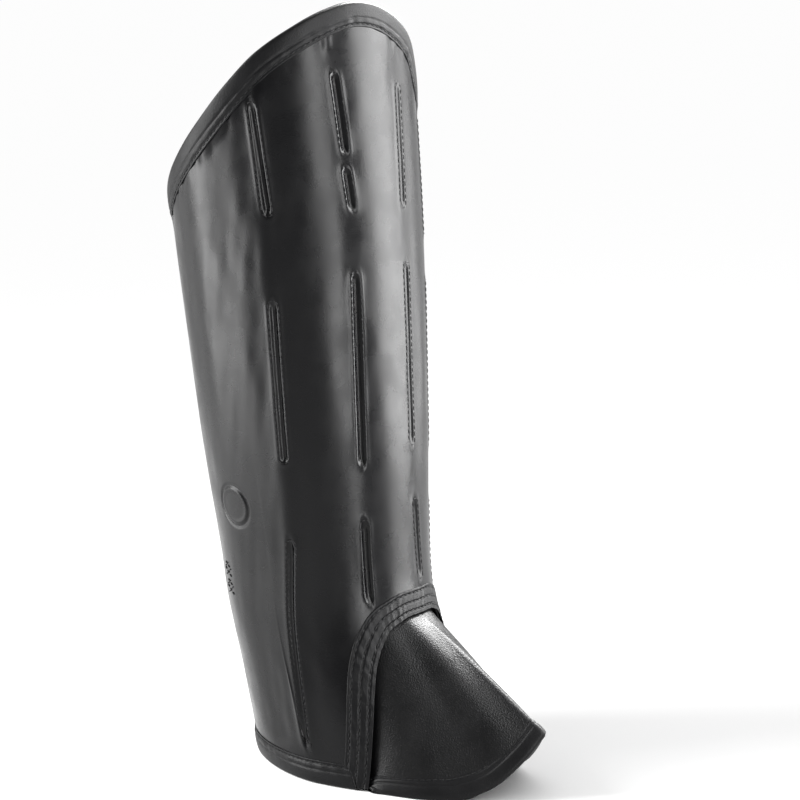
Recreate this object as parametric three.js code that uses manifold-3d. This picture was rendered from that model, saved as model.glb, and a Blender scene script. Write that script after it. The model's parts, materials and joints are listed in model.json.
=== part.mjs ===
// A safety leg guard: a leather shin wrap with stitched stay slots, an instep flap and bound edges.
// Millimetres, +Z up, toe towards -Y. The part stands on its lower hem at z = 0.
import * as THREE from 'three';
import { mergeVertices } from 'three/addons/utils/BufferGeometryUtils.js';
import Module from 'manifold-3d';

const wasm = await Module();
wasm.setup();

// Driving sizes
const guardHeight = 430;
const legWidth = 128;
const legDepth = 134;
const calfSetback = 33;
const wrapWall = 3;
const flapWall = 2;
const bindingWall = 1.1;
const bindingDepth = 12;
const seamStripWidth = 13;
const seamStripWall = 1.1;
const seamTuck = 7;
const seamStripAngle = 10.5;
const archHeight = 92;
const archSpread = 70.5;
const flapReach = 147;
const flapSkew = 8;
const flapHalfWidth = 54;
const flapTipHeight = 36;
const flapTurn = 10;
const overlapStart = -165;
const overlapAngle = 33;
const overlapRamp = 20;
const rampGap = 2;
const slotWidth = 5.5;
const slotDepth = 1.2;
const slotEndShare = 0.55;
const clearance = 0.4;
const closureInset = 5;

// Steps of the grids, which leave the shape alone
const wrapSteps = 78;
const wrapRows = 14;
const rowCrowding = 1.6;
const seamSteps = 30;
const flapRows = 6;
const slotRows = 4;
const closureSteps = 6;

// Sections up the leg: height is a share of guardHeight, width of half legWidth, front and back of
// half legDepth, setback of calfSetback, and heel the roundness of the back half (2 is an ellipse).
const sections = [
  { height: 0.00, width: 0.880, front: 1.420, back: 1.120, setback: -0.86, heel: 1.60 },
  { height: 0.14, width: 0.870, front: 1.010, back: 0.980, setback: -0.28, heel: 1.80 },
  { height: 0.21, width: 0.872, front: 0.905, back: 0.955, setback: -0.05, heel: 1.92 },
  { height: 0.28, width: 0.890, front: 0.900, back: 0.940, setback: 0.08, heel: 2.00 },
  { height: 0.46, width: 0.990, front: 0.990, back: 1.000, setback: 0.34, heel: 2.00 },
  { height: 0.70, width: 1.105, front: 1.045, back: 1.060, setback: 0.61, heel: 2.00 },
  { height: 1.00, width: 1.190, front: 1.070, back: 1.090, setback: 1.00, heel: 2.00 },
];

// Top edge: angle in degrees from the toe towards the outer side, rise a share of guardHeight.
const topEdge = [
  { angle: -165, rise: 0.696 },
  { angle: -150, rise: 0.700 },
  { angle: -120, rise: 0.724 },
  { angle: -90, rise: 0.772 },
  { angle: -60, rise: 0.836 },
  { angle: -33, rise: 0.910 },
  { angle: -22, rise: 0.951 },
  { angle: -7, rise: 0.979 },
  { angle: 7, rise: 0.996 },
  { angle: 20, rise: 1.000 },
  { angle: 32, rise: 0.992 },
  { angle: 45, rise: 0.975 },
  { angle: 65, rise: 0.939 },
  { angle: 80, rise: 0.900 },
  { angle: 98, rise: 0.850 },
  { angle: 120, rise: 0.796 },
  { angle: 147, rise: 0.744 },
  { angle: 180, rise: 0.704 },
  { angle: 230, rise: 0.694 },
];

// Arch that the flap is sewn under: angle a share of archSpread, rise a share of archHeight.
const archEdge = [
  { angle: 0.00, rise: 1.000 },
  { angle: 0.17, rise: 0.995 },
  { angle: 0.28, rise: 0.970 },
  { angle: 0.40, rise: 0.925 },
  { angle: 0.54, rise: 0.800 },
  { angle: 0.64, rise: 0.670 },
  { angle: 0.74, rise: 0.510 },
  { angle: 0.85, rise: 0.310 },
  { angle: 0.93, rise: 0.150 },
  { angle: 1.00, rise: 0.000 },
];

// Free edge of the flap: along is the share of the seam it is joined to, side a share of
// flapHalfWidth, reach of flapReach and rise of flapTipHeight.
const flapEdge = [
  { along: 0.00, side: 0.00, reach: 1.00, rise: 1.00 },
  { along: 0.15, side: 0.22, reach: 0.950, rise: 0.62 },
  { along: 0.30, side: 0.45, reach: 0.870, rise: 0.24 },
  { along: 0.45, side: 0.64, reach: 0.780, rise: 0.06 },
  { along: 0.60, side: 0.78, reach: 0.695, rise: 0.02 },
  { along: 0.75, side: 0.88, reach: 0.610, rise: 0.00 },
  { along: 0.90, side: 0.94, reach: 0.510, rise: 0.00 },
  { along: 1.00, side: 0.98, reach: 0.430, rise: 0.00 },
];

// Stay slots in five columns, each from the top down: from is the angle in degrees at the slot's
// upper end and to at its lower end, low and high are shares of guardHeight.
const slots = [
  { from: -4, to: -1.5, low: 0.742, high: 0.900 },
  { from: -1, to: 0, low: 0.434, high: 0.672 },
  { from: -2, to: -5, low: 0.254, high: 0.362 },
  { from: 32, to: 30, low: 0.815, high: 0.917 },
  { from: 30.5, to: 29, low: 0.744, high: 0.798 },
  { from: 30, to: 33.5, low: 0.417, high: 0.665 },
  { from: 34, to: 35, low: 0.235, high: 0.345 },
  { from: 69, to: 67, low: 0.738, high: 0.880 },
  { from: 69, to: 72, low: 0.421, high: 0.631 },
  { from: 74, to: 90, low: 0.045, high: 0.319 },
  { from: -32, to: -30, low: 0.700, high: 0.850 },
  { from: -30, to: -33.5, low: 0.417, high: 0.640 },
  { from: -34, to: -35, low: 0.235, high: 0.345 },
  { from: -69, to: -67, low: 0.670, high: 0.760 },
  { from: -69, to: -72, low: 0.421, high: 0.620 },
  { from: -74, to: -90, low: 0.045, high: 0.319 },
];

const overlapLift = wrapWall + 2 * bindingWall + 3 * clearance;
const fullTurn = 360;
const overlapEnd = fullTurn + overlapStart + overlapAngle;
const hemLift = bindingWall + clearance;
const radians = (degrees) => degrees * Math.PI / 180;
const lerp = THREE.MathUtils.lerp;

// Small steps for directions: degrees on the wrap and shares on the flap
const normalStep = 1.5;
const halfDegree = 0.5;
const flapStep = 0.01;

// A smooth curve through the rows of a table.
function through(rows, key, value) {
  const slope = (i) => {
    const a = rows[Math.max(i - 1, 0)];
    const b = rows[Math.min(i + 1, rows.length - 1)];
    return (b[value] - a[value]) / (b[key] - a[key]);
  };
  return (at) => {
    const x = THREE.MathUtils.clamp(at, rows[0][key], rows[rows.length - 1][key]);
    let i = 0;
    while (i < rows.length - 2 && x > rows[i + 1][key]) i += 1;
    const span = rows[i + 1][key] - rows[i][key];
    const t = (x - rows[i][key]) / span;
    const rise = rows[i + 1][value] - rows[i][value];
    const bend = t * (1 - t) * ((1 - t) * (slope(i) * span - rise) - t * (slope(i + 1) * span - rise));
    return rows[i][value] + rise * t + bend;
  };
}

const widthAt = through(sections, 'height', 'width');
const frontAt = through(sections, 'height', 'front');
const backAt = through(sections, 'height', 'back');
const setbackAt = through(sections, 'height', 'setback');
const heelAt = through(sections, 'height', 'heel');
const topRise = through(topEdge, 'angle', 'rise');
const archRise = through(archEdge, 'angle', 'rise');
const flapSide = through(flapEdge, 'along', 'side');
const flapForward = through(flapEdge, 'along', 'reach');
const flapRise = through(flapEdge, 'along', 'rise');

const topHeight = (angle) => guardHeight * topRise(angle);

function archEdgeHeight(angle) {
  const share = Math.abs(angle) / archSpread;
  return share < 1 ? Math.max(archHeight * archRise(share), hemLift) : hemLift;
}

// The leg's outer surface at an angle from the toe and a height, before the overlap is lifted.
function legSection(angle, z) {
  const height = z / guardHeight;
  const s = Math.sin(radians(angle));
  const c = Math.cos(radians(angle));
  const power = c > 0 ? 1 : 2 / heelAt(height);
  const across = Math.sign(s) * Math.abs(s) ** power * widthAt(height) * legWidth / 2;
  const reach = (c > 0 ? frontAt(height) : backAt(height)) * legDepth / 2;
  const along = Math.sign(c) * Math.abs(c) ** power * reach;
  return new THREE.Vector3(-across, setbackAt(height) * calfSetback - along, z);
}

// A point on the wrap, moved out by a distance that is measured level.
function onWrap(angle, z, out = 0) {
  const before = legSection(angle - normalStep, z);
  const after = legSection(angle + normalStep, z);
  const outward = new THREE.Vector3(-(after.y - before.y), after.x - before.x, 0).normalize();
  const middle = legSection(angle, z);
  if (outward.dot(new THREE.Vector3(middle.x, middle.y - setbackAt(z / guardHeight) * calfSetback, 0)) < 0) {
    outward.negate();
  }
  const lapFrom = fullTurn + overlapStart;
  const lift = overlapLift * THREE.MathUtils.smoothstep(angle, lapFrom - overlapRamp, lapFrom - rampGap);
  return middle.addScaledVector(outward, out + lift);
}

// The length of one degree round the wrap.
function degreeLength(angle, z) {
  return onWrap(angle + halfDegree, z).distanceTo(onWrap(angle - halfDegree, z));
}

// A point beside a line drawn on the wrap: line(t) gives an angle and a height.
function besideLine(line, t, aside, out) {
  const a = line(t - halfDegree);
  const b = line(t + halfDegree);
  const [angle, z] = line(t);
  const degree = degreeLength(angle, z);
  const along = new THREE.Vector2((b[0] - a[0]) * degree, b[1] - a[1]).normalize();
  return onWrap(angle - along.y * aside / degree, z + along.x * aside, out);
}

// A closed sheet from two grids of points, the outer face and the inner one.
function sheet(outer, inner) {
  const rows = outer.length;
  const columns = outer[0].length;
  const positions = [];
  for (const grid of [outer, inner]) {
    for (const row of grid) row.forEach((p) => positions.push(p.x, p.y, p.z));
  }
  const at = (face, i, j) => face * rows * columns + i * columns + j;
  const index = [];
  const quad = (a, b, c, d) => index.push(a, b, c, a, c, d);
  for (let i = 0; i < rows - 1; i += 1) {
    for (let j = 0; j < columns - 1; j += 1) {
      quad(at(0, i, j), at(0, i + 1, j), at(0, i + 1, j + 1), at(0, i, j + 1));
      quad(at(1, i, j), at(1, i, j + 1), at(1, i + 1, j + 1), at(1, i + 1, j));
    }
  }
  for (let i = 0; i < rows - 1; i += 1) {
    quad(at(0, i, 0), at(1, i, 0), at(1, i + 1, 0), at(0, i + 1, 0));
    quad(at(0, i, columns - 1), at(0, i + 1, columns - 1), at(1, i + 1, columns - 1), at(1, i, columns - 1));
  }
  for (let j = 0; j < columns - 1; j += 1) {
    quad(at(0, 0, j), at(0, 0, j + 1), at(1, 0, j + 1), at(1, 0, j));
    quad(at(0, rows - 1, j), at(1, rows - 1, j), at(1, rows - 1, j + 1), at(0, rows - 1, j + 1));
  }
  const geometry = new THREE.BufferGeometry();
  geometry.setAttribute('position', new THREE.Float32BufferAttribute(positions, 3));
  geometry.setIndex(index);
  return facingOut(geometry);
}

// Turns a closed geometry's faces outwards.
function facingOut(geometry) {
  const p = geometry.getAttribute('position');
  const index = geometry.getIndex();
  const [a, b, c] = [new THREE.Vector3(), new THREE.Vector3(), new THREE.Vector3()];
  let volume = 0;
  for (let i = 0; i < index.count; i += 3) {
    a.fromBufferAttribute(p, index.getX(i));
    b.fromBufferAttribute(p, index.getX(i + 1));
    c.fromBufferAttribute(p, index.getX(i + 2));
    volume += a.dot(b.cross(c));
  }
  if (volume < 0) {
    for (let i = 0; i < index.count; i += 3) {
      const second = index.getX(i + 1);
      index.setX(i + 1, index.getX(i + 2));
      index.setX(i + 2, second);
    }
  }
  return geometry;
}

function toSolid(geometry) {
  const bare = geometry.clone();
  bare.deleteAttribute('normal');
  bare.deleteAttribute('uv');
  const merged = mergeVertices(bare, 1e-4);
  return new wasm.Manifold(new wasm.Mesh({
    numProp: 3,
    vertProperties: new Float32Array(merged.getAttribute('position').array),
    triVerts: new Uint32Array(merged.getIndex().array),
  }));
}

function toGeometry(solid) {
  const mesh = solid.getMesh();
  const geometry = new THREE.BufferGeometry();
  geometry.setAttribute('position', new THREE.Float32BufferAttribute(mesh.vertProperties, 3));
  geometry.setIndex(new THREE.BufferAttribute(new Uint32Array(mesh.triVerts), 1));
  return geometry;
}

const steps = (count) => Array.from({ length: count + 1 }, (_, i) => i / count);

// The angles at which the wrap's faces bend, from one angle to another.
function wrapAngles(from, to) {
  const between = steps(wrapSteps)
    .map((s) => lerp(overlapStart, overlapEnd, s))
    .filter((angle) => angle > from + halfDegree && angle < to - halfDegree);
  return [from, ...between, to];
}

// The shin wrap: one sheet from its inner end, round the front, to the end that laps over it.
function shinWrap() {
  const face = (out) => wrapAngles(overlapStart, overlapEnd).map((angle) => {
    const low = archEdgeHeight(angle);
    const high = topHeight(angle);
    return steps(wrapRows).map((v) => onWrap(angle, lerp(low, high, v ** rowCrowding), out));
  });
  let solid = toSolid(sheet(face(0), face(-wrapWall)));
  for (const slot of slots) solid = solid.subtract(toSolid(slotCutter(slot)));
  return toGeometry(solid);
}

// The space that is pressed out of the wrap by one stitched slot, with narrowed ends.
function slotCutter(slot) {
  const face = (out) => steps(slotRows).map((v) => {
    const angle = lerp(slot.to, slot.from, v);
    const z = guardHeight * lerp(slot.low, slot.high, v);
    const degree = degreeLength(angle, z);
    const fromEnd = Math.min(v, 1 - v) * guardHeight * (slot.high - slot.low);
    const half = slotWidth / 2 * (fromEnd < slotWidth ? slotEndShare : 1);
    return [-1, 1].map((side) => onWrap(angle + side * half / degree, z, out));
  });
  return sheet(face(slotWidth / 2), face(-slotDepth));
}

// A binding folded over an edge of the wrap: line(angle) is the edge, and side is 1 where the
// leather lies above it and -1 where it lies below.
function binding(line, from, to, side) {
  const profile = (skin) => [
    [bindingDepth, skin],
    [bindingDepth / 2, skin],
    [-skin, skin],
    [-skin, -wrapWall - skin],
    [bindingDepth / 2, -wrapWall - skin],
    [bindingDepth, -wrapWall - skin],
  ];
  const face = (skin) => wrapAngles(from, to).map((angle) => profile(skin).map(([aside, out]) => {
    const point = besideLine(line, angle, side * Math.max(aside, 0), out);
    point.z += side * Math.min(aside, 0);
    return point;
  }));
  return sheet(face(clearance + bindingWall), face(clearance));
}

const topLine = (angle) => [angle, topHeight(angle)];
const hemLine = (angle) => [angle, hemLift];
const seamLine = (angle) => [angle, archEdgeHeight(angle)];

// The strip stitched over the wrap's margin along the arch seam.
function seamStrip() {
  const face = (out) => steps(seamSteps * 2).map((t) => {
    const angle = lerp(-archSpread, archSpread, t);
    return [0, seamStripWidth / 2, seamStripWidth].map((aside) => {
      const point = besideLine(seamLine, angle, aside, out);
      point.z = Math.max(point.z, hemLift);
      return point;
    });
  });
  return sheet(face(clearance + seamStripWall), face(clearance));
}

// The flap's face, w from the seam (0) to the free edge (1), t from the inner foot (-1) to the outer
// one. The free edge lies further back on the inner side, by flapTurn at the middle of that side.
const flapFoot = 0.955;
function flapPoint(t, w) {
  const angle = archSpread * flapFoot * t;
  const start = onWrap(angle, archEdgeHeight(angle), -wrapWall - clearance);
  const side = Math.abs(t);
  const inner = Math.max(-t, 0);
  const end = new THREE.Vector3(
    -Math.sign(t) * flapSide(side) * flapHalfWidth - flapSkew * (1 - flapSide(side)),
    -flapForward(side) * flapReach + flapTurn * 4 * inner * (1 - inner),
    Math.max(flapRise(side) * flapTipHeight, 0) + hemLift,
  );
  return start.lerp(end, w);
}

function onFlap(t, w, out) {
  const across = flapPoint(t + flapStep, w).sub(flapPoint(t - flapStep, w));
  const along = flapPoint(t, w + flapStep).sub(flapPoint(t, w - flapStep));
  const outward = across.cross(along).normalize();
  return flapPoint(t, w).addScaledVector(outward, out);
}

function instepFlap() {
  const face = (out) => steps(seamSteps).map((s) => {
    const t = lerp(-1, 1, s);
    const angle = archSpread * flapFoot * t;
    const under = -wrapWall - clearance + out;
    const tucked = besideLine(seamLine, angle, seamTuck, under);
    const edge = besideLine(seamLine, angle, 0, under);
    const open = steps(flapRows).slice(1).map((w) => onFlap(t, w, out));
    return [tucked, edge, ...open].map((p) => {
      p.z = Math.max(p.z, hemLift);
      return p;
    });
  });
  return sheet(face(0), face(-flapWall));
}

// The binding folded over the flap's free edge, which stops just short of the seam strip.
const bindingEnd = 0.97;
const levelRise = 0.12;
function flapBinding() {
  const profile = (skin) => [
    [bindingDepth, skin],
    [0, skin],
    [-skin, skin],
    [-skin, -flapWall - skin],
    [0, -flapWall - skin],
    [bindingDepth, -flapWall - skin],
  ];
  const inside = steps(seamSteps).map((s) => lerp(-1, 1, s)).filter((t) => Math.abs(t) < bindingEnd - flapStep);
  const face = (skin) => [-bindingEnd, ...inside, bindingEnd].map((t) => {
    const length = flapPoint(t, 0).distanceTo(flapPoint(t, 1));
    return profile(skin).map(([aside, out]) => {
      const point = onFlap(t, 1 - aside / length, out);
      const raised = Math.min(flapRise(Math.abs(t)) / levelRise, 1);
      if (aside < 0) point.z = lerp(hemLift - skin, point.z, raised);
      point.z = Math.max(point.z, hemLift - skin);
      return point;
    });
  });
  return sheet(face(clearance + bindingWall), face(clearance));
}

// The plain fastening strip that lies between the lapped ends of the wrap.
function closureStrip() {
  const margin = bindingDepth + closureInset;
  const from = fullTurn + overlapStart + closureInset;
  const to = overlapEnd - closureInset;
  const face = (out) => steps(closureSteps).map((s) => {
    const angle = lerp(from, to, s);
    const low = hemLift + margin;
    const high = topHeight(angle) - margin;
    return steps(wrapRows).map((v) => onWrap(angle - fullTurn, lerp(low, high, v), out));
  });
  return sheet(face(overlapLift - wrapWall - clearance), face(clearance));
}

const leather = { color: 0x2b2b2d, roughness: 0.42, metalness: 0 };
const grained = { color: 0x1f1f20, roughness: 0.6, metalness: 0 };
const binder = { color: 0x242426, roughness: 0.65, metalness: 0 };
const fastening = { color: 0x161617, roughness: 0.9, metalness: 0 };

const guard = new THREE.Group();

function addPiece(name, geometry, finish) {
  const mesh = new THREE.Mesh(geometry, new THREE.MeshStandardMaterial(finish));
  mesh.name = name;
  guard.add(mesh);
}

const hemFrom = archSpread + seamStripAngle;
addPiece('shin_wrap', shinWrap(), leather);
addPiece('instep_flap', instepFlap(), grained);
addPiece('top_binding', binding(topLine, overlapStart, overlapEnd, -1), binder);
addPiece('hem_binding_outer', binding(hemLine, hemFrom, overlapEnd, 1), binder);
addPiece('hem_binding_inner', binding(hemLine, overlapStart, -hemFrom, 1), binder);
addPiece('flap_binding', flapBinding(), binder);
addPiece('ankle_seam_strip', seamStrip(), binder);
addPiece('closure_strip', closureStrip(), fastening);

// The origin is the middle of the part's footprint, on the surface that it stands on.
const middle = new THREE.Box3().setFromObject(guard).getCenter(new THREE.Vector3());
guard.position.set(-middle.x, -middle.y, 0);

export default guard;
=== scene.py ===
import json
import math

import bmesh
import bpy
import numpy as np
from mathutils import Matrix, Vector

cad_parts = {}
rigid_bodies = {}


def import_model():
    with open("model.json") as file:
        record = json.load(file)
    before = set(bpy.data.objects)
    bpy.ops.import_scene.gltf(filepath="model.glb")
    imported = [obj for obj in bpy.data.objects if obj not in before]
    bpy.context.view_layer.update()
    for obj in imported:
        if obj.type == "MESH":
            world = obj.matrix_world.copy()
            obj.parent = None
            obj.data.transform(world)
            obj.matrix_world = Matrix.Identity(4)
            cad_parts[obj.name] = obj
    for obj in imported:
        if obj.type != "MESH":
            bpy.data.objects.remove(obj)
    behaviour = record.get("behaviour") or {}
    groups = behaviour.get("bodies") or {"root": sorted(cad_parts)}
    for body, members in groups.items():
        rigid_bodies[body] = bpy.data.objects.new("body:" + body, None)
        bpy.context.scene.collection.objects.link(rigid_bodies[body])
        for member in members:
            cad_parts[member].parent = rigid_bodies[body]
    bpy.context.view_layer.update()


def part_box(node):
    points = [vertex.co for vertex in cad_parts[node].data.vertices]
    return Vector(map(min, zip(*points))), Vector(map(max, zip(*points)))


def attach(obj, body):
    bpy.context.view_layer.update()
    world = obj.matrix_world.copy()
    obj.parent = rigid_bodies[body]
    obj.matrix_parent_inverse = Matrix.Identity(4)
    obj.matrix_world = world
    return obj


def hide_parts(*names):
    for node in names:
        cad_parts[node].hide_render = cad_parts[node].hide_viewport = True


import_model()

MM = 0.001
FULL_TURN = 360

# Sizes in millimetres and angles in degrees from the toe, as the solids have them
GUARD_HEIGHT = 430.0
LEG_WIDTH = 128.0
LEG_DEPTH = 134.0
CALF_SETBACK = 33.0
WRAP_WALL = 3.0
FLAP_WALL = 2.0
BINDING_WALL = 1.1
BINDING_DEPTH = 12.0
STRIP_WIDTH = 13.0
SEAM_TUCK = 7.0
ARCH_HEIGHT = 92.0
ARCH_SPREAD = 70.5
FLAP_REACH = 147.0
FLAP_SKEW = 8.0
FLAP_HALF_WIDTH = 54.0
FLAP_TIP_HEIGHT = 36.0
FLAP_TURN = 10.0
OVERLAP_START = -165.0
OVERLAP_ANGLE = 33.0
OVERLAP_RAMP = 20.0
SLOT_WIDTH = 5.5
CLEARANCE = 0.4
RAMP_GAP = 2

# The flap's foot, its binding and the hem run further under the seam strip than in the solids
FLAP_FOOT = 1.02
BINDING_END = 1.0
HEM_PAST_ARCH = 3

# Small steps for directions: degrees on the wrap and shares on the flap
NORMAL_STEP = 1.5
HALF_DEGREE = 0.5
FLAP_STEP = 0.01

OVERLAP_LIFT = WRAP_WALL + 2 * BINDING_WALL + 3 * CLEARANCE
OVERLAP_END = FULL_TURN + OVERLAP_START + OVERLAP_ANGLE
HEM_LIFT = BINDING_WALL + CLEARANCE

# Sections up the leg: height, width, front, back, setback and heel roundness, as shares
SECTIONS = np.array([
    (0.00, 0.880, 1.420, 1.120, -0.86, 1.60),
    (0.14, 0.870, 1.010, 0.980, -0.28, 1.80),
    (0.21, 0.872, 0.905, 0.955, -0.05, 1.92),
    (0.28, 0.890, 0.900, 0.940, 0.08, 2.00),
    (0.46, 0.990, 0.990, 1.000, 0.34, 2.00),
    (0.70, 1.105, 1.045, 1.060, 0.61, 2.00),
    (1.00, 1.190, 1.070, 1.090, 1.00, 2.00),
])

# Top edge: angle from the toe towards the outer side, and rise as a share of the height
TOP_EDGE = np.array([
    (-165, 0.696), (-150, 0.700), (-120, 0.724), (-90, 0.772), (-60, 0.836), (-33, 0.910),
    (-22, 0.951), (-7, 0.979), (7, 0.996), (20, 1.000), (32, 0.992), (45, 0.975), (65, 0.939),
    (80, 0.900), (98, 0.850), (120, 0.796), (147, 0.744), (180, 0.704), (230, 0.694),
])

# Arch over the flap: angle and rise as shares of the arch's spread and height
ARCH_EDGE = np.array([
    (0.00, 1.000), (0.17, 0.995), (0.28, 0.970), (0.40, 0.925), (0.54, 0.800),
    (0.64, 0.670), (0.74, 0.510), (0.85, 0.310), (0.93, 0.150), (1.00, 0.000),
])

# Free edge of the flap: share along the seam, then side, reach and rise as shares
FLAP_EDGE = np.array([
    (0.00, 0.00, 1.00, 1.00), (0.15, 0.22, 0.950, 0.62), (0.30, 0.45, 0.870, 0.24),
    (0.45, 0.64, 0.780, 0.06), (0.60, 0.78, 0.695, 0.02), (0.75, 0.88, 0.610, 0.00),
    (0.90, 0.94, 0.510, 0.00), (1.00, 0.98, 0.430, 0.00),
])

# Stay slots: angles at the top and bottom ends, and the heights of the bottom and top ends as shares
SLOTS = [
    (-4, -1.5, 0.742, 0.900), (-1, 0, 0.434, 0.672), (-2, -5, 0.254, 0.362),
    (32, 30, 0.815, 0.917), (30.5, 29, 0.744, 0.798), (30, 33.5, 0.417, 0.665), (34, 35, 0.235, 0.345),
    (69, 67, 0.738, 0.880), (69, 72, 0.421, 0.631), (74, 90, 0.045, 0.319),
    (-32, -30, 0.700, 0.850), (-30, -33.5, 0.417, 0.640), (-34, -35, 0.235, 0.345),
    (-69, -67, 0.670, 0.760), (-69, -72, 0.421, 0.620), (-74, -90, 0.045, 0.319),
]

# The camera, from the photograph's frame of 800 by 800 pixels
FRAME_PIXELS = 800
FOCAL_PIXELS = 2400.0
CAMERA_AZIMUTH = -57.0
CAMERA_PITCH = 9.8
CAMERA_HEIGHT = 440.0
CAMERA_DISTANCE = 1350.0
CAMERA_ASIDE = 40.0


def through(table, column):
    """A smooth curve through one column of a table, over its first column."""
    xs, ys = table[:, 0].astype(float), table[:, column].astype(float)
    last = len(xs) - 1
    before = np.maximum(np.arange(len(xs)) - 1, 0)
    after = np.minimum(np.arange(len(xs)) + 1, last)
    slopes = (ys[after] - ys[before]) / (xs[after] - xs[before])

    def curve(at):
        x = np.clip(np.asarray(at, float), xs[0], xs[-1])
        i = np.clip(np.searchsorted(xs, x, side="left") - 1, 0, last - 1)
        span = xs[i + 1] - xs[i]
        t = (x - xs[i]) / span
        rise = ys[i + 1] - ys[i]
        leaving = (1 - t) * (slopes[i] * span - rise)
        arriving = t * (slopes[i + 1] * span - rise)
        return ys[i] + rise * t + t * (1 - t) * (leaving - arriving)

    return curve


width_at, front_at, back_at, setback_at, heel_at = (through(SECTIONS, c) for c in range(1, 6))
top_rise = through(TOP_EDGE, 1)
arch_rise = through(ARCH_EDGE, 1)
flap_side, flap_forward, flap_rise = (through(FLAP_EDGE, c) for c in range(1, 4))


def smoothstep(x, low, high):
    t = np.clip((x - low) / (high - low), 0, 1)
    return t * t * (3 - 2 * t)


def top_height(angle):
    return GUARD_HEIGHT * top_rise(angle)


def arch_height(angle):
    share = np.abs(angle) / ARCH_SPREAD
    inside = np.maximum(ARCH_HEIGHT * arch_rise(np.minimum(share, 1)), HEM_LIFT)
    return np.where(share < 1, inside, HEM_LIFT)


def leg_section(angle, z):
    """The leg's outer surface at an angle and a height, before the overlap is lifted."""
    height = z / GUARD_HEIGHT
    s, c = np.sin(np.radians(angle)), np.cos(np.radians(angle))
    power = np.where(c > 0, 1.0, 2 / heel_at(height))
    across = np.sign(s) * np.abs(s) ** power * width_at(height) * LEG_WIDTH / 2
    reach = np.where(c > 0, front_at(height), back_at(height)) * LEG_DEPTH / 2
    along = np.sign(c) * np.abs(c) ** power * reach
    return np.stack([-across, setback_at(height) * CALF_SETBACK - along], -1)


def on_wrap(angle, z, out=0.0):
    """Points on the wrap, moved out by a level distance."""
    angle, z, out = np.broadcast_arrays(*(np.asarray(v, float) for v in (angle, z, out)))
    chord = leg_section(angle + NORMAL_STEP, z) - leg_section(angle - NORMAL_STEP, z)
    normal = np.stack([-chord[..., 1], chord[..., 0]], -1)
    normal /= np.linalg.norm(normal, axis=-1, keepdims=True)
    middle = leg_section(angle, z)
    centre = np.stack([np.zeros_like(z), setback_at(z / GUARD_HEIGHT) * CALF_SETBACK], -1)
    flip = np.sum(normal * (middle - centre), -1, keepdims=True) < 0
    normal = np.where(flip, -normal, normal)
    ramp = FULL_TURN + OVERLAP_START - OVERLAP_RAMP
    lift = OVERLAP_LIFT * smoothstep(angle, ramp, ramp + OVERLAP_RAMP - RAMP_GAP)
    flat = middle + normal * (out + lift)[..., None]
    return np.concatenate([flat, z[..., None]], -1)


def per_degree(angle, z):
    """The length of one degree on the wrap."""
    return np.linalg.norm(on_wrap(angle + HALF_DEGREE, z) - on_wrap(angle - HALF_DEGREE, z), axis=-1)


def beside(line, angle, aside, out):
    """Points beside a line on the wrap; line(angle) gives the angle and the height."""
    angle = np.asarray(angle, float)
    a, b = line(angle - HALF_DEGREE), line(angle + HALF_DEGREE)
    at, z = line(angle)
    scale = per_degree(at, z)
    ds, dz = (b[0] - a[0]) * scale, b[1] - a[1]
    length = np.hypot(ds, dz)
    ds, dz = ds / length, dz / length
    return on_wrap(at - dz * aside / scale, z + ds * aside, out)


def top_line(angle):
    return angle, top_height(angle)


def hem_line(angle):
    return angle, np.full_like(np.asarray(angle, float), HEM_LIFT)


def seam_line(angle):
    return angle, arch_height(angle)


def strip_line(angle):
    """The arch's edge, carried on straight down past its foot."""
    share = np.abs(angle) / ARCH_SPREAD
    steepness = (ARCH_EDGE[-1, 1] - ARCH_EDGE[-2, 1]) / (ARCH_EDGE[-1, 0] - ARCH_EDGE[-2, 0])
    rise = np.where(share < 1, arch_rise(np.minimum(share, 1)), (share - 1) * steepness)
    return angle, ARCH_HEIGHT * rise


def flap_point(t, w):
    """The flap's outer surface: t from the inner foot, -1, to the outer, w from the seam to the edge."""
    t, w = np.broadcast_arrays(np.asarray(t, float), np.asarray(w, float))
    angle = ARCH_SPREAD * FLAP_FOOT * t
    start = on_wrap(angle, arch_height(angle), -WRAP_WALL - CLEARANCE)
    side, inner = np.abs(t), np.maximum(-t, 0)
    end = np.stack([
        -np.sign(t) * flap_side(side) * FLAP_HALF_WIDTH - FLAP_SKEW * (1 - flap_side(side)),
        -flap_forward(side) * FLAP_REACH + FLAP_TURN * 4 * inner * (1 - inner),
        np.maximum(flap_rise(side) * FLAP_TIP_HEIGHT, 0) + HEM_LIFT,
    ], -1)
    return start + (end - start) * w[..., None]


def on_flap(t, w, out):
    across = flap_point(t + FLAP_STEP, w) - flap_point(t - FLAP_STEP, w)
    along = flap_point(t, w + FLAP_STEP) - flap_point(t, w - FLAP_STEP)
    normal = np.cross(across, along)
    normal /= np.linalg.norm(normal, axis=-1, keepdims=True)
    return flap_point(t, w) + normal * np.asarray(out, float)[..., None]


PHASE_RANGE = 6.28
STRENGTH_RANGE = (0.6, 1.0)


def ripple(x, seed, periods):
    """A smooth, uneven wave along x, between about -1 and 1."""
    local = np.random.default_rng(seed)
    total = np.zeros_like(np.asarray(x, float))
    for period in periods:
        phase = local.uniform(0, PHASE_RANGE)
        total += np.sin(2 * np.pi * x / period + phase) * local.uniform(*STRENGTH_RANGE)
    return total / len(periods)


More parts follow.
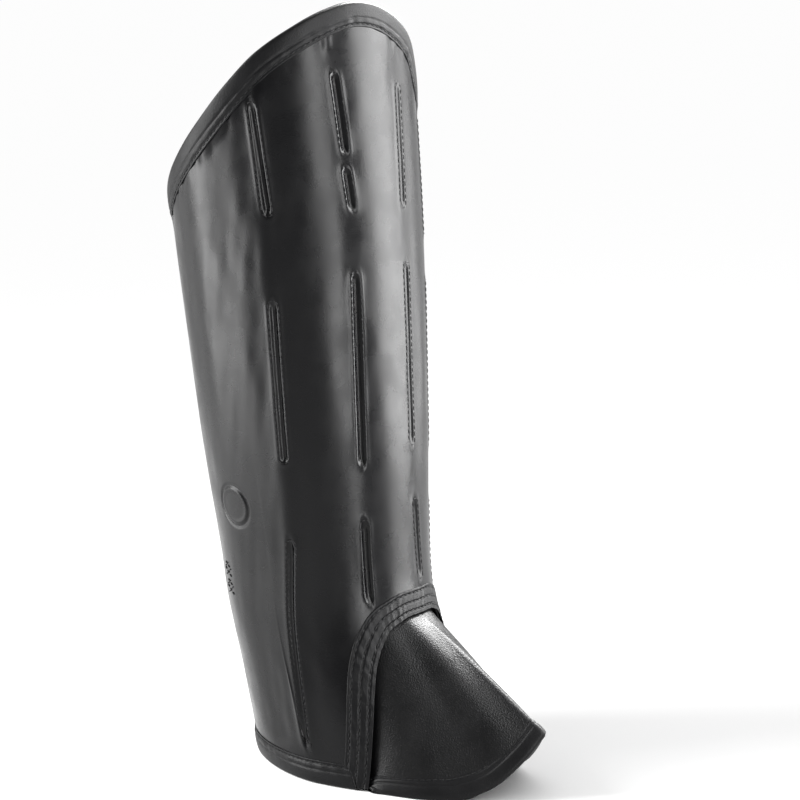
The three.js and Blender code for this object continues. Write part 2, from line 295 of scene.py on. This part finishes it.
def frame_shift():
    """The move that takes these coordinates to the frame's, from the middle of the wrap in both."""
    low, high = (np.array(v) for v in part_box("shin_wrap"))
    angles = np.linspace(OVERLAP_START, OVERLAP_END, 400)
    grid = np.concatenate([on_wrap(angles, arch_height(angles) * (1 - v) + top_height(angles) * v)
                           for v in np.linspace(0, 1, 60)])
    mine = (grid.min(0) + grid.max(0)) / 2
    return Vector(((low[0] + high[0]) / 2 - mine[0] * MM, (low[1] + high[1]) / 2 - mine[1] * MM, 0))


shift = frame_shift()
shift_mm = np.array(shift) / MM


# Meshes
def new_piece(name, vertices, faces, material):
    mesh = bpy.data.meshes.new(name)
    mesh.from_pydata(((np.asarray(vertices) + shift_mm) * MM).tolist(), [], faces)
    mesh.validate()
    mesh.polygons.foreach_set("use_smooth", [True] * len(mesh.polygons))
    obj = bpy.data.objects.new(name, mesh)
    bpy.context.scene.collection.objects.link(obj)
    mesh.materials.append(material)
    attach(obj, "root")
    return obj


def grid_faces(rows, columns, start=0, flip=False):
    i, j = np.meshgrid(np.arange(rows - 1), np.arange(columns - 1), indexing="ij")
    a = start + i * columns + j
    quads = np.stack([a, a + columns, a + columns + 1, a + 1], -1).reshape(-1, 4)
    return (quads[:, ::-1] if flip else quads).tolist()


def closed_sheet(outer, inner):
    """Vertices and faces of a closed sheet between two grids of points."""
    rows, columns = outer.shape[:2]
    count = rows * columns
    vertices = np.concatenate([outer.reshape(-1, 3), inner.reshape(-1, 3)])
    faces = grid_faces(rows, columns) + grid_faces(rows, columns, count, True)
    for i in range(rows - 1):
        a, b = i * columns, (i + 1) * columns
        faces.append([a, a + count, b + count, b])
        a, b = a + columns - 1, b + columns - 1
        faces.append([a, b, b + count, a + count])
    for j in range(columns - 1):
        faces.append([j, j + 1, j + 1 + count, j + count])
        a = (rows - 1) * columns + j
        faces.append([a, a + count, a + 1 + count, a + 1])
    return vertices, faces


def swept_loop(rings):
    """Vertices and faces of a closed loop carried along a path, with flat ends."""
    rows, columns = rings.shape[:2]
    faces = []
    for i in range(rows - 1):
        for j in range(columns):
            k = (j + 1) % columns
            this, following = i * columns, (i + 1) * columns
            faces.append([this + j, following + j, following + k, this + k])
    faces.append(list(range(columns)))
    faces.append([(rows - 1) * columns + j for j in reversed(range(columns))])
    return rings.reshape(-1, 3), faces


def outward(obj):
    """Turns the faces of a closed piece outward."""
    work = bmesh.new()
    work.from_mesh(obj.data)
    bmesh.ops.recalc_face_normals(work, faces=work.faces)
    work.to_mesh(obj.data)
    work.free()
    return obj


# Relief of the wrap, in millimetres
RING_ANGLE, RING_HEIGHT, RING_RADIUS = 109.5, 152.0, 11.5
RING_DEPTH, RING_HALF = 0.8, 0.8
RING_LIP, RING_LIP_INSET, RING_LIP_HALF = 0.25, 2, 1.0
GROOVE_DEPTH, GROOVE_HALF = 1.9, 1.7
FRONT_COLUMN, FRONT_SHARE = 10, 0.5
LIP_HEIGHT, LIP_PLACE, LIP_HALF = 0.28, 3.5, 1.2
CREASE_HEIGHT, CREASE_HALF = 1.4, 6
VALLEY_DEPTH, VALLEY_PLACE, VALLEY_HALF = 1.8, 26.0, 16
PUCKER_HEIGHT, PUCKER_BELOW, PUCKER_HALF = 0.55, 15, 5
PUCKER_PERIODS = [6.1, 8.3, 11.7]
PLAIN_HEM, PLAIN_TOP = (12, 24), (11, 22)
ARC_PER_DEGREE = 1.1

# The side crease runs up through the side column of slots: heights as shares, and angles
CREASE_SHARES = [0.0, 0.3, 0.63, 0.9]
CREASE_ANGLES = [91.0, 75.0, 70.5, 67.0]


def hump(distance, half, power=2):
    """A soft rise of height 1 round a line."""
    return np.exp(-(distance / half) ** power)


def slot_distance(angle, z, slot, scale):
    top_angle, bottom_angle, low, high = slot
    low, high = low * GUARD_HEIGHT, high * GUARD_HEIGHT
    v = np.clip((z - low) / (high - low), 0, 1)
    centre = bottom_angle + (top_angle - bottom_angle) * v
    half = SLOT_WIDTH / 2
    past = np.maximum(np.maximum(low + half - z, z - (high - half)), 0)
    return np.hypot((angle - centre) * scale, past)


def side_crease(z):
    return np.interp(z / GUARD_HEIGHT, CREASE_SHARES, CREASE_ANGLES)


def wrap_relief(angle, z):
    """How far the leather stands out from the plain surface."""
    scale = per_degree(angle, z)
    relief = np.zeros_like(angle)
    for slot in SLOTS:
        d = slot_distance(angle, z, slot, scale)
        depth = GROOVE_DEPTH * (FRONT_SHARE if abs(slot[0]) < FRONT_COLUMN else 1)
        relief -= depth * hump(d, GROOVE_HALF, 4)
        relief += LIP_HEIGHT * hump(d - LIP_PLACE, LIP_HALF)
    for side in (1, -1):
        from_crease = (side * angle - side_crease(z)) * scale
        relief += CREASE_HEIGHT * hump(from_crease, CREASE_HALF)
        relief -= VALLEY_DEPTH * hump(from_crease - VALLEY_PLACE, VALLEY_HALF)
    from_ring = np.hypot((angle - RING_ANGLE) * scale, z - RING_HEIGHT) - RING_RADIUS
    relief -= RING_DEPTH * hump(from_ring, RING_HALF)
    relief += RING_LIP * hump(from_ring + RING_LIP_INSET, RING_LIP_HALF)
    below = top_height(angle) - z
    along = angle * ARC_PER_DEGREE
    relief += 0.35 * ripple(z, 5, [121, 187]) * ripple(along, 6, [23, 41])
    relief += 0.15 * ripple(z + along, 8, [33, 57]) * ripple(along, 9, [19, 11])
    relief *= smoothstep(z, *PLAIN_HEM) * smoothstep(below, *PLAIN_TOP)
    relief += PUCKER_HEIGHT * ripple(along, 3, PUCKER_PERIODS) * hump(below - PUCKER_BELOW, PUCKER_HALF)
    return relief


# Steps of the wrap's columns, in degrees: the plain leather's, then from, to and step where there is relief
PLAIN_STEP, LEAST_STEP = 3.2, 0.3
FINE_ANGLES = [
    (-94, -64, 0.9), (-38, -26, 0.8), (-8, 3, 0.6), (26, 38, 0.6), (64, 93, 0.6),
    (RING_ANGLE - 13, RING_ANGLE + 13, 0.7),
]


def dense_angles():
    base = list(np.arange(OVERLAP_START, OVERLAP_END, PLAIN_STEP)) + [OVERLAP_END]
    for low, high, step in FINE_ANGLES:
        base += list(np.arange(low, high, step))
    base = np.unique(np.round(base, 3))
    keep = [base[0]]
    for angle in base[1:]:
        if angle - keep[-1] > LEAST_STEP:
            keep.append(angle)
    keep[-1] = OVERLAP_END
    return np.array(keep)


# Rows of the wrap, crowded across the ring: from and to as shares of the height, and how many
ROW_BANDS = [(0, 0.385, 46), (0.385, 0.475, 34), (0.475, 1, 84)]
INNER_RELIEF = 0.3


def make_wrap(material):
    angles = dense_angles()
    shares = np.unique(np.concatenate([np.linspace(*band) for band in ROW_BANDS]))
    low, high = arch_height(np.minimum(angles, 180)), top_height(angles)
    z = low[:, None] + (high - low)[:, None] * shares
    a = np.broadcast_to(angles[:, None], z.shape)
    relief = wrap_relief(a, z)
    outer = on_wrap(a, z, relief)
    inner = on_wrap(a, z, relief * INNER_RELIEF - WRAP_WALL)
    piece = outward(new_piece("shin_wrap_leather", *closed_sheet(outer, inner), material))
    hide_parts("shin_wrap")
    return piece


# Bindings: the folded band's skin stands out by these, in millimetres, and its stitches sink into it
FOLD_OUT = 1.2
EDGE_OUT = 0.35
BAND_FULLNESS = 0.5
BAND_CREASE, BAND_CREASE_ASIDE = 0.45, 7.0
STITCH_SINK, STITCH_ASIDE = 0.55, 10.4
FURROW_HALF = 0.6
BAND_WAVE, BAND_WAVE_ASIDE, BAND_WAVE_HALF = 0.3, 8.5, 2.5
BAND_PERIODS = [6.1, 8.3, 12.9]
BAND_STEPS, FOLD_STEPS = 26, 11
LAST_SKIN_DROP = 0.3


def band_height(aside):
    """How proud the folded band stands: thin at its edge, with a crease and a stitched groove."""
    share = np.clip(aside / BINDING_DEPTH, 0, 1)
    body = FOLD_OUT + (EDGE_OUT - FOLD_OUT) * share ** 1.5 + BAND_FULLNESS * np.sin(np.pi * share) ** 0.7
    crease = BAND_CREASE * hump(aside - BAND_CREASE_ASIDE, FURROW_HALF)
    stitched = STITCH_SINK * hump(aside - STITCH_ASIDE, FURROW_HALF)
    return body - crease - stitched


STITCH_OUT = float(band_height(np.array(STITCH_ASIDE))) + 0.1


def fold_profile(wall):
    """Pairs (aside, out) of a closed loop: up the outer side, round the fold, down inside and back."""
    far, near = CLEARANCE + BINDING_WALL, CLEARANCE / 2
    asides = np.linspace(BINDING_DEPTH, 0, BAND_STEPS)
    outer = list(zip(asides, band_height(asides)))
    radius = (FOLD_OUT + wall + far) / 2
    middle = (FOLD_OUT - wall - far) / 2
    angles = np.linspace(0, math.pi, FOLD_STEPS)[1:-1]
    turn = [(-far * math.sin(k), middle + radius * math.cos(k)) for k in angles]
    inside = [(x, -wall - far) for x in (0, BINDING_DEPTH / 2, BINDING_DEPTH)]
    back = [(BINDING_DEPTH, -wall - near), (0, -wall - near), (-near, -wall - near), (-near, near), (0, near),
            (BINDING_DEPTH, EDGE_OUT - LAST_SKIN_DROP)]
    return outer + turn + inside + back


COLUMNS_PER_DEGREE = 1.4


def make_binding(name, node, line, start, end, side, material):
    angles = np.linspace(start, end, int(abs(end - start) * COLUMNS_PER_DEGREE))
    columns = []
    for aside, out in fold_profile(WRAP_WALL):
        wave = 0.0
        if out > EDGE_OUT and aside > 0:
            wave = BAND_WAVE * ripple(angles * ARC_PER_DEGREE, 13, BAND_PERIODS)
            wave *= hump(aside - BAND_WAVE_ASIDE, BAND_WAVE_HALF)
        point = beside(line, angles, side * max(aside, 0), out + wave)
        point[:, 2] += side * min(aside, 0)
        columns.append(point)
    piece = outward(new_piece(name, *swept_loop(np.stack(columns, 1)), material))
    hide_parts(node)
    return piece


# Below this rise the flap's free edge lies on the ground, and its binding's fold is pressed flat
LEVEL_RISE = 0.12


def make_flap_binding(material):
    t = np.linspace(-BINDING_END, BINDING_END, 170)
    length = np.linalg.norm(flap_point(t, 0) - flap_point(t, 1), axis=-1)
    raised = np.minimum(flap_rise(np.abs(t)) / LEVEL_RISE, 1)
    columns = []
    for aside, out in fold_profile(FLAP_WALL):
        point = on_flap(t, 1 - aside / length, np.full_like(t, out))
        if aside < 0:
            floor = HEM_LIFT + aside
            point[:, 2] = floor + (point[:, 2] - floor) * raised
        point[:, 2] = np.maximum(point[:, 2], 0)
        columns.append(point)
    piece = outward(new_piece("flap_binding_leather", *swept_loop(np.stack(columns, 1)), material))
    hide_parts("flap_binding")


# The flap's face, in millimetres: broad dents, a crown and a full, rounded ridge either side of the middle
DENT, CROWN, RIDGE_FULLNESS = 0.5, 1.6, 2.0
RIDGE_PLACE, RIDGE_HALF = 0.17, 0.1
FLAP_LENGTH, FLAP_SPAN = 80, 60


def make_flap(material):
    t = np.linspace(-1, 1, 150)
    angle = ARCH_SPREAD * FLAP_FOOT * t
    w = np.linspace(0, 1, 60)

    def face(out):
        under = out - WRAP_WALL - CLEARANCE
        tucked = beside(seam_line, angle, SEAM_TUCK, under)[:, None]
        edge = beside(seam_line, angle, 0, under)[:, None]
        tt, ww = np.meshgrid(t, w[1:], indexing="ij")
        dents = DENT * ripple(ww * FLAP_LENGTH, 21, [47, 71]) * ripple(tt * FLAP_SPAN, 22, [38, 61])
        crown = CROWN * (1 - np.abs(tt) ** 2)
        ridge = RIDGE_FULLNESS * np.sin(np.pi * ww) ** 0.7 * hump(np.abs(tt) - RIDGE_PLACE, RIDGE_HALF)
        body = on_flap(tt, ww, out + (dents + crown) * np.sin(np.pi * ww) + ridge)
        grid = np.concatenate([tucked, edge, body], 1)
        grid[..., 2] = np.maximum(grid[..., 2], HEM_LIFT)
        return grid

    piece = outward(new_piece("instep_flap_leather", *closed_sheet(face(0.0), face(-FLAP_WALL)), material))
    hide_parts("instep_flap")


# The seam strip: its rows of stitches, and how it stands out, in millimetres
STRIP_ROWS = (1.8, 6.4, 11.2)
STRIP_OVERHANG = 0.8
STRIP_EDGE, STRIP_CROWN = 0.6, 0.4
STRIP_SINK, STRIP_SINK_HALF = 0.55, 0.55
STRIP_WAVE, STRIP_PERIODS = 0.35, [3.7, 5.3, 8.9]
STRIP_UNDER = 0.1
STRIP_STITCH_SPREAD = 70


def make_strip(material):
    angles = np.linspace(-ARCH_SPREAD - STRIP_OVERHANG, ARCH_SPREAD + STRIP_OVERHANG, 260)
    asides = np.linspace(-STRIP_OVERHANG, STRIP_WIDTH, 36)

    def puff(aside):
        height = STRIP_EDGE + STRIP_CROWN * math.sin(math.pi * max(aside, 0) / STRIP_WIDTH) ** 0.5
        for row in STRIP_ROWS:
            height -= STRIP_SINK * hump(aside - row, STRIP_SINK_HALF)
        return height

    def face(outer):
        columns = []
        for aside in asides:
            wave = STRIP_WAVE * ripple(angles * 1.3 + aside / 2, 31, STRIP_PERIODS)
            point = beside(strip_line, angles, aside, puff(aside) + wave if outer else STRIP_UNDER)
            point[:, 2] = np.maximum(point[:, 2], HEM_LIFT)
            columns.append(point)
        return np.stack(columns, 1)

    piece = outward(new_piece("ankle_seam_strip_leather", *closed_sheet(face(True), face(False)), material))
    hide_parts("ankle_seam_strip")


CLOSURE_INSET = 5.0
NAP_HEIGHT = 0.12


def make_closure(material):
    """The plain napped fastening between the lapped ends of the wrap."""
    margin = BINDING_DEPTH + CLOSURE_INSET
    angles = np.linspace(OVERLAP_START + CLOSURE_INSET, OVERLAP_END - FULL_TURN - CLOSURE_INSET, 40)
    low, high = HEM_LIFT + margin, top_height(angles + FULL_TURN) - margin
    z = low + (high - low)[:, None] * np.linspace(0, 1, 120)
    a = np.broadcast_to(angles[:, None], z.shape)
    nap = NAP_HEIGHT * ripple(z * 3, 41, [4.3, 6.1]) * ripple(a * 3, 42, [5.3, 3.7])
    outer = on_wrap(a, z, OVERLAP_LIFT - WRAP_WALL - CLEARANCE + nap)
    piece = outward(new_piece("closure_strip_nap", *closed_sheet(outer, on_wrap(a, z, CLEARANCE)), material))
    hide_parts("closure_strip")


# Stitches: short threads that rise out of the leather and dip back in
STITCH_LENGTH = 2.7
STITCH_PITCH = 3.6
STITCH_START = 0.5
THREAD_RADIUS = 0.30
SLOT_THREAD_RADIUS = 0.20
THREAD_TAPER = np.array([0.5, 0.95, 1, 1, 0.95, 0.5])
THREAD_SIDES = 6
THREAD_RISE, THREAD_DIP = 0.88, 0.32


def stitch_run(path, normals, into, radius=THREAD_RADIUS):
    """Adds the stitches along a path to the lists of vertices and faces in into."""
    rings = len(THREAD_TAPER)
    lengths = np.linalg.norm(np.diff(path, axis=0), axis=1)
    along = np.concatenate([[0], np.cumsum(lengths)])
    share = np.linspace(0, 1, rings)
    turn = np.linspace(0, 2 * np.pi, THREAD_SIDES, endpoint=False)
    cosines, sines = np.cos(turn)[None, :, None], np.sin(turn)[None, :, None]
    for k in range(int(along[-1] // STITCH_PITCH)):
        start = k * STITCH_PITCH + STITCH_START
        if start + STITCH_LENGTH > along[-1]:
            break
        s = start + STITCH_LENGTH * share
        p = np.stack([np.interp(s, along, path[:, c]) for c in range(3)], 1)
        n = np.stack([np.interp(s, along, normals[:, c]) for c in range(3)], 1)
        n /= np.linalg.norm(n, axis=1, keepdims=True)
        d = np.gradient(p, axis=0)
        d /= np.linalg.norm(d, axis=1, keepdims=True)
        b = np.cross(d, n)
        p = p + n * ((np.sin(np.pi * share) ** 0.6 * THREAD_RISE - THREAD_DIP) * radius)[:, None]
        r = (radius * THREAD_TAPER)[:, None, None]
        loops = p[:, None] + r * (cosines * n[:, None] + sines * b[:, None])
        base = sum(len(v) for v in into["v"])
        into["v"].append(loops.reshape(-1, 3))
        for i in range(rings - 1):
            this, following = base + i * THREAD_SIDES, base + (i + 1) * THREAD_SIDES
            for j in range(THREAD_SIDES):
                m = (j + 1) % THREAD_SIDES
                into["f"].append([this + j, this + m, following + m, following + j])
        last = base + (rings - 1) * THREAD_SIDES
        into["f"].append([base + j for j in reversed(range(THREAD_SIDES))])
        into["f"].append([last + j for j in range(THREAD_SIDES)])


def finish_stitches(name, into, material):
    piece = outward(new_piece(name, np.concatenate(into["v"]), into["f"], material))
    return piece


def wrap_normals(angle, z):
    return on_wrap(angle, z, 1.0) - on_wrap(angle, z, 0.0)


def line_stitches(name, line, angles, side, aside, out, material):
    into = {"v": [], "f": []}
    path = beside(line, angles, side * aside, out)
    normals = beside(line, angles, side * aside, out + 1) - path
    stitch_run(path, normals, into)
    return finish_stitches(name, into, material)


# The slots' stitches run round each groove, this far from its middle line
STITCH_PLACE = 2.9
SLOT_SIDE_POINTS, SLOT_TURN_POINTS = 40, 9
SLOT_THREAD_OUT = 0.05


def slot_stitches(material):
    into = {"v": [], "f": []}
    turn = np.linspace(0, np.pi, SLOT_TURN_POINTS)[1:-1]
    side = np.full(SLOT_SIDE_POINTS, STITCH_PLACE)
    across, past = STITCH_PLACE * np.cos(turn), STITCH_PLACE * np.sin(turn)
    for top_angle, bottom_angle, low, high in SLOTS:
        low, high = low * GUARD_HEIGHT + SLOT_WIDTH / 2, high * GUARD_HEIGHT - SLOT_WIDTH / 2
        up = np.linspace(low, high, SLOT_SIDE_POINTS)
        ds = np.concatenate([side, across, -side, -across])
        z = np.concatenate([up, high + past, up[::-1], low - past])
        v = np.clip((z - low) / (high - low), 0, 1)
        angle = bottom_angle + (top_angle - bottom_angle) * v
        angle = angle + ds / per_degree(angle, z)
        path = on_wrap(angle, z, wrap_relief(angle, z) + SLOT_THREAD_OUT)
        stitch_run(path, wrap_normals(angle, z), into, SLOT_THREAD_RADIUS)
    return finish_stitches("slot_stitches", into, material)


def flap_stitches(material):
    into = {"v": [], "f": []}
    t = np.linspace(-0.98, 0.98, 500)
    length = np.linalg.norm(flap_point(t, 0) - flap_point(t, 1), axis=-1)
    w = 1 - STITCH_ASIDE / length
    path = on_flap(t, w, np.full_like(t, STITCH_OUT))
    stitch_run(path, on_flap(t, w, np.full_like(t, STITCH_OUT + 1)) - path, into)
    return finish_stitches("flap_stitches", into, material)


# A short crossed tack of thread at the closing side
TACK_ANGLE, TACK_LOW, TACK_HIGH, TACK_WIDTH = 129.0, 97.0, 117.0, 9.0
TACK_POINTS, TACK_OUT = 30, 0.1


def tack_stitches(material):
    into = {"v": [], "f": []}
    z = np.linspace(TACK_LOW, TACK_HIGH, TACK_POINTS)
    for sign in (1, -1):
        for part in np.split(z, 2):
            swing = np.abs(np.linspace(-1, 1, len(part))) * 2 - 1
            angle = TACK_ANGLE + sign * swing * TACK_WIDTH / 2 / per_degree(TACK_ANGLE, part)
            path = on_wrap(angle, part, wrap_relief(angle, part) + TACK_OUT)
            stitch_run(path, wrap_normals(angle, part), into)
    return finish_stitches("side_tack_stitches", into, material)


# Materials
BROAD_SCALE = 22
WEAR_SCALE = 60
PORE_SCALE, PORE_STRENGTH = 1.7, 0.8
BUMP_DISTANCE = 0.0004
SMOOTHER, ROUGHER = 0.05, 0.07


def leather(name, color, roughness, grain, grain_depth, variation, shine):
    """Leather, or a thread or nap like it: uneven tone and gloss, and a grain of cells and pores."""
    material = bpy.data.materials.new(name)
    material.use_nodes = True
    nodes, links = material.node_tree.nodes, material.node_tree.links
    shader = nodes["Principled BSDF"]
    shader.inputs["Specular IOR Level"].default_value = shine

    def add(kind, **values):
        node = nodes.new(kind)
        for key, value in values.items():
            node.inputs[key.replace("_", " ")].default_value = value
        return node

    place = add("ShaderNodeTexCoord").outputs["Object"]
    broad = add("ShaderNodeTexNoise", Scale=BROAD_SCALE, Detail=5)
    tone = add("ShaderNodeMapRange", To_Min=1 - variation, To_Max=1 + variation)
    mix = nodes.new("ShaderNodeMix")
    mix.data_type = "RGBA"
    mix.blend_type = "MULTIPLY"
    mix.inputs["Factor"].default_value = 1.0
    mix.inputs["A"].default_value = (*color, 1)
    combine = add("ShaderNodeCombineColor")
    links.new(place, broad.inputs["Vector"])
    links.new(broad.outputs["Fac"], tone.inputs["Value"])
    for channel in ("Red", "Green", "Blue"):
        links.new(tone.outputs["Result"], combine.inputs[channel])
    links.new(combine.outputs["Color"], mix.inputs["B"])
    links.new(mix.outputs["Result"], shader.inputs["Base Color"])

    wear = add("ShaderNodeTexNoise", Scale=WEAR_SCALE, Detail=6)
    rough = add("ShaderNodeMapRange", From_Min=0.3, From_Max=0.7, To_Min=roughness - SMOOTHER,
                To_Max=roughness + ROUGHER)
    links.new(place, wear.inputs["Vector"])
    links.new(wear.outputs["Fac"], rough.inputs["Value"])
    links.new(rough.outputs["Result"], shader.inputs["Roughness"])

    cells = add("ShaderNodeTexVoronoi", Scale=grain)
    cells.feature = "DISTANCE_TO_EDGE"
    pores = add("ShaderNodeTexNoise", Scale=grain * PORE_SCALE, Detail=8)
    cell_bump = add("ShaderNodeBump", Strength=grain_depth, Distance=BUMP_DISTANCE)
    pore_bump = add("ShaderNodeBump", Strength=grain_depth * PORE_STRENGTH, Distance=BUMP_DISTANCE)
    links.new(place, cells.inputs["Vector"])
    links.new(place, pores.inputs["Vector"])
    links.new(cells.outputs["Distance"], cell_bump.inputs["Height"])
    links.new(pores.outputs["Fac"], pore_bump.inputs["Height"])
    links.new(cell_bump.outputs["Normal"], pore_bump.inputs["Normal"])
    links.new(pore_bump.outputs["Normal"], shader.inputs["Normal"])
    return material


shin_leather = leather("shin_leather", (0.0009, 0.0009, 0.0012), 0.27, 900, 0.10, 0.15, 0.19)
flap_leather = leather("flap_leather", (0.0011, 0.0011, 0.0013), 0.38, 700, 0.55, 0.2, 0.20)
binding_leather = leather("binding_leather", (0.0013, 0.0013, 0.0016), 0.42, 800, 0.35, 0.2, 0.16)
thread = leather("thread", (0.004, 0.004, 0.0045), 0.55, 2500, 0.5, 0.2, 0.25)
fastening = leather("fastening", (0.004, 0.004, 0.0045), 0.9, 1500, 0.8, 0.3, 0.1)


# The camera
def make_camera():
    azimuth, pitch = math.radians(CAMERA_AZIMUTH), math.radians(CAMERA_PITCH)
    right = Vector((math.cos(azimuth), math.sin(azimuth), 0))
    level = Vector((-math.sin(azimuth), math.cos(azimuth), 0))
    ahead = level * math.cos(pitch) + Vector((0, 0, -math.sin(pitch)))
    up = right.cross(ahead)
    eye = shift + (right * CAMERA_ASIDE - level * CAMERA_DISTANCE + Vector((0, 0, CAMERA_HEIGHT))) * MM
    data = bpy.data.cameras.new("camera")
    data.sensor_width = 36
    data.lens = 36 * FOCAL_PIXELS / FRAME_PIXELS
    data.clip_start = 0.05
    camera = bpy.data.objects.new("camera", data)
    bpy.context.scene.collection.objects.link(camera)
    camera.matrix_world = Matrix((
        (right.x, up.x, -ahead.x, eye.x),
        (right.y, up.y, -ahead.y, eye.y),
        (right.z, up.z, -ahead.z, eye.z),
        (0, 0, 0, 1),
    ))
    bpy.context.scene.camera = camera
    return right, level


view_right, view_ahead = make_camera()

make_wrap(shin_leather)
make_binding("top_binding_leather", "top_binding", top_line, OVERLAP_START, OVERLAP_END, -1, binding_leather)
hem_from = ARCH_SPREAD + HEM_PAST_ARCH
make_binding("hem_outer_leather", "hem_binding_outer", hem_line, hem_from, OVERLAP_END, 1, binding_leather)
make_binding("hem_inner_leather", "hem_binding_inner", hem_line, OVERLAP_START, -hem_from, 1, binding_leather)
make_flap(flap_leather)
make_flap_binding(binding_leather)
make_strip(binding_leather)

# Rows of stitches along the bindings: name, line, from, to, points and the side the band lies on
BAND_STITCHES = [
    ("top_stitches", top_line, OVERLAP_START + 1, OVERLAP_END - 1, 700, -1),
    ("hem_outer_stitches", hem_line, hem_from + 1, OVERLAP_END - 1, 300, 1),
    ("hem_inner_stitches", hem_line, OVERLAP_START + 1, -hem_from - 1, 200, 1),
]
for name, line, start, end, points, side in BAND_STITCHES:
    line_stitches(name, line, np.linspace(start, end, points), side, STITCH_ASIDE, STITCH_OUT, thread)
for number, row in enumerate(STRIP_ROWS):
    angles = np.linspace(-STRIP_STITCH_SPREAD, STRIP_STITCH_SPREAD, 420)
    line_stitches(f"seam_stitches_{number + 1}", strip_line, angles, 1, row, STRIP_EDGE, thread)
flap_stitches(thread)
slot_stitches(thread)
tack_stitches(thread)

make_closure(fastening)


# The floor and the lights, in metres
FLOOR_HALF = 80.0
FLOOR_TONE = (0.98, 0.98, 0.98)
MIRRORED_ROOM = 0.35
AIM_HEIGHT = 0.2


def make_stage():
    material = bpy.data.materials.new("stage_pale")
    material.use_nodes = True
    shader = material.node_tree.nodes["Principled BSDF"]
    shader.inputs["Base Color"].default_value = (*FLOOR_TONE, 1)
    shader.inputs["Roughness"].default_value = 0.95
    shader.inputs["Specular IOR Level"].default_value = 0.0
    size = FLOOR_HALF
    mesh = bpy.data.meshes.new("floor")
    corners = [(-size, -size, 0), (size, -size, 0), (size, size, 0), (-size, size, 0)]
    mesh.from_pydata(corners, [], [[0, 1, 2, 3]])
    mesh.materials.append(material)
    floor = bpy.data.objects.new("floor", mesh)
    bpy.context.scene.collection.objects.link(floor)


def lit_pieces():
    """The guard's own meshes, which some softboxes light without lighting the floor."""
    group = bpy.data.collections.new("lit_pieces")
    for obj in bpy.context.scene.objects:
        if obj.type == "MESH" and obj.name != "floor":
            group.objects.link(obj)
    return group


def softbox(name, turn, distance, height, size, glow, lights_floor=False):
    """A soft light at a turn in degrees from the camera's side towards the right, glow its radiance."""
    data = bpy.data.lights.new(name, "AREA")
    data.shape = "RECTANGLE"
    data.size, data.size_y = size
    data.energy = glow * math.pi * size[0] * size[1]
    light = bpy.data.objects.new(name, data)
    bpy.context.scene.collection.objects.link(light)
    if not lights_floor:
        light.light_linking.receiver_collection = lit_group
    side = distance * math.sin(math.radians(turn))
    ahead = -distance * math.cos(math.radians(turn))
    place = shift + view_right * side + view_ahead * ahead + Vector((0, 0, height))
    light.location = place
    target = shift + Vector((0, 0, AIM_HEIGHT))
    light.rotation_euler = (target - place).to_track_quat("-Z", "Y").to_euler()


make_stage()
lit_group = lit_pieces()
softbox("right_softbox", 88, 0.80, 0.42, (0.50, 0.9), 22.0)
softbox("right_back_softbox", 122, 0.85, 0.42, (0.42, 0.9), 4.5)
softbox("left_softbox", -82, 0.80, 0.42, (0.42, 0.9), 14.0, lights_floor=True)
softbox("left_back_softbox", -112, 0.80, 0.42, (0.40, 0.9), 1.2)
softbox("front_softbox", 30, 0.62, 0.36, (0.16, 0.9), 14.0)
softbox("ridge_softbox", 150, 0.75, 0.98, (0.7, 0.8), 42.0)

world = bpy.data.worlds.new("studio")
bpy.context.scene.world = world
world.use_nodes = True
background = world.node_tree.nodes["Background"]
background.inputs["Color"].default_value = (1, 1, 1, 1)
background.inputs["Strength"].default_value = 1.0
# Dark flags round the object: its glossy surfaces mirror a dimmer room than the one that lights it
rays = world.node_tree.nodes.new("ShaderNodeLightPath")
dimmer = world.node_tree.nodes.new("ShaderNodeMapRange")
dimmer.inputs["To Min"].default_value = 1.0
dimmer.inputs["To Max"].default_value = MIRRORED_ROOM
world.node_tree.links.new(rays.outputs["Is Glossy Ray"], dimmer.inputs["Value"])
world.node_tree.links.new(dimmer.outputs["Result"], background.inputs["Strength"])
bpy.context.scene.view_settings.view_transform = "Standard"
